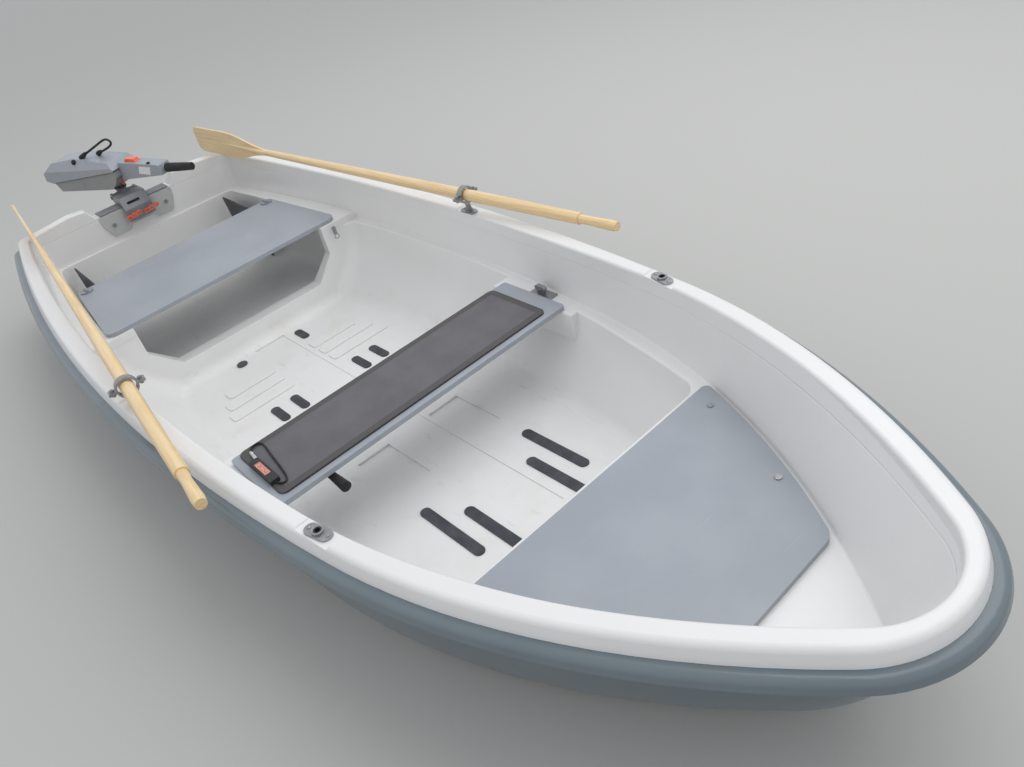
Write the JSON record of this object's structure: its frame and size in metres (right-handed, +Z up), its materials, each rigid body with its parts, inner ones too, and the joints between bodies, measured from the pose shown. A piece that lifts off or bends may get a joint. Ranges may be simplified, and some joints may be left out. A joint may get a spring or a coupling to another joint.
{
  "type": "rowing boat",
  "caption": "Open double-skinned rowing boat with seat boards, oars lying in ring oarlocks and a small electric outboard clamped to the transom.",
  "frame": {"origin": "on the centre plane at the waterline, about amidships", "axes": "+X to the bow, +Y to port, +Z up"},
  "size_m": [4.3084, 1.4552, 1.1015],
  "materials": {
    "hull_grey": "gloss",
    "liner_white": "satin gloss",
    "board_grey": "satin",
    "panel_dark": "fine texture",
    "black_plastic": "matt",
    "black_rubber": "matt",
    "zinc": "galvanised",
    "knob_grey": "satin",
    "dark_plate": "matt",
    "pad_grey": "ribbed",
    "pine": "oiled",
    "pad_plate": "satin",
    "trim_grey": "satin",
    "motor_metal": "painted",
    "orange_plastic": "gloss",
    "dark_tube": "anodised",
    "motor_grey": "satin",
    "pod_dark": "satin",
    "prop_dark": "satin"
  },
  "bodies": {
    "hull": {"hull_shell": "hull_grey", "liner": "liner_white", "thwart": "board_grey", "stern_seat": "board_grey", "bow_seat": "board_grey", "thwart_panel": "panel_dark", "panel_box": "black_plastic", "panel_lead": "black_rubber", "thwart_latches": "zinc", "release_grip": "black_rubber", "seat_knobs": "knob_grey", "seat_screws": "zinc", "locker_partitions": "dark_plate", "seat_clip": "zinc", "floor_pads": "pad_grey", "drain_plugs": "pad_grey", "oarlock_sockets": "zinc", "socket_bushes": "black_plastic", "transom_pad": "pad_plate", "pad_bolts": "zinc", "transom_trim": "trim_grey", "bow_eye": "zinc", "motor_clamp": "motor_metal", "clamp_screws": "zinc", "clamp_handles": "orange_plastic"},
    "oarlock_port": {"oarlock_port": "zinc"},
    "oarlock_starboard": {"oarlock_starboard": "zinc"},
    "oar_port": {"oar_port": "pine"},
    "oar_starboard": {"oar_starboard": "pine"},
    "motor_tilt": {"motor_swivel": "motor_metal"},
    "motor": {"motor_shaft": "dark_tube", "motor_head": "motor_grey", "motor_battery": "motor_grey", "motor_tiller": "motor_grey", "tiller_grip": "black_rubber", "tiller_lever": "orange_plastic", "battery_lead": "black_rubber", "motor_pod": "pod_dark"},
    "propeller": {"propeller": "prop_dark"}
  },
  "joints": [
    {"name": "oarlock_port_swing", "type": "hinge", "parent": "hull", "child": "oarlock_port", "pos_m": [-0.098, 0.642, 0.4], "axis": [0, 0, 1], "range_deg": [-65, 0]},
    {"name": "oar_port_lift", "type": "hinge", "parent": "oarlock_port", "child": "oar_port", "pos_m": [-0.098, 0.642, 0.45971], "axis": [-0.1002, 0.995, 0], "range_deg": [0, 3]},
    {"name": "oarlock_starboard_swing", "type": "hinge", "parent": "hull", "child": "oarlock_starboard", "pos_m": [-0.098, -0.642, 0.4], "axis": [0, 0, 1], "range_deg": [0, 65]},
    {"name": "oar_starboard_lift", "type": "hinge", "parent": "oarlock_starboard", "child": "oar_starboard", "pos_m": [-0.098, -0.642, 0.45971], "axis": [0.1002, 0.995, 0], "range_deg": [0, 3]},
    {"name": "motor_tilt", "type": "hinge", "parent": "hull", "child": "motor_tilt", "pos_m": [-1.976, 0, 0.408], "axis": [0, 1, 0], "range_deg": [0, 20]},
    {"name": "motor_steer", "type": "hinge", "parent": "motor_tilt", "child": "motor", "pos_m": [-1.992, 0, 0.37], "axis": [0, 0, 1], "range_deg": [-80, 10]},
    {"name": "propeller_spin", "type": "hinge", "parent": "motor", "child": "propeller", "pos_m": [-2.13581, -0.07014, -0.3], "axis": [0.8988, 0.4384, 0], "continuous": true}
  ]
}
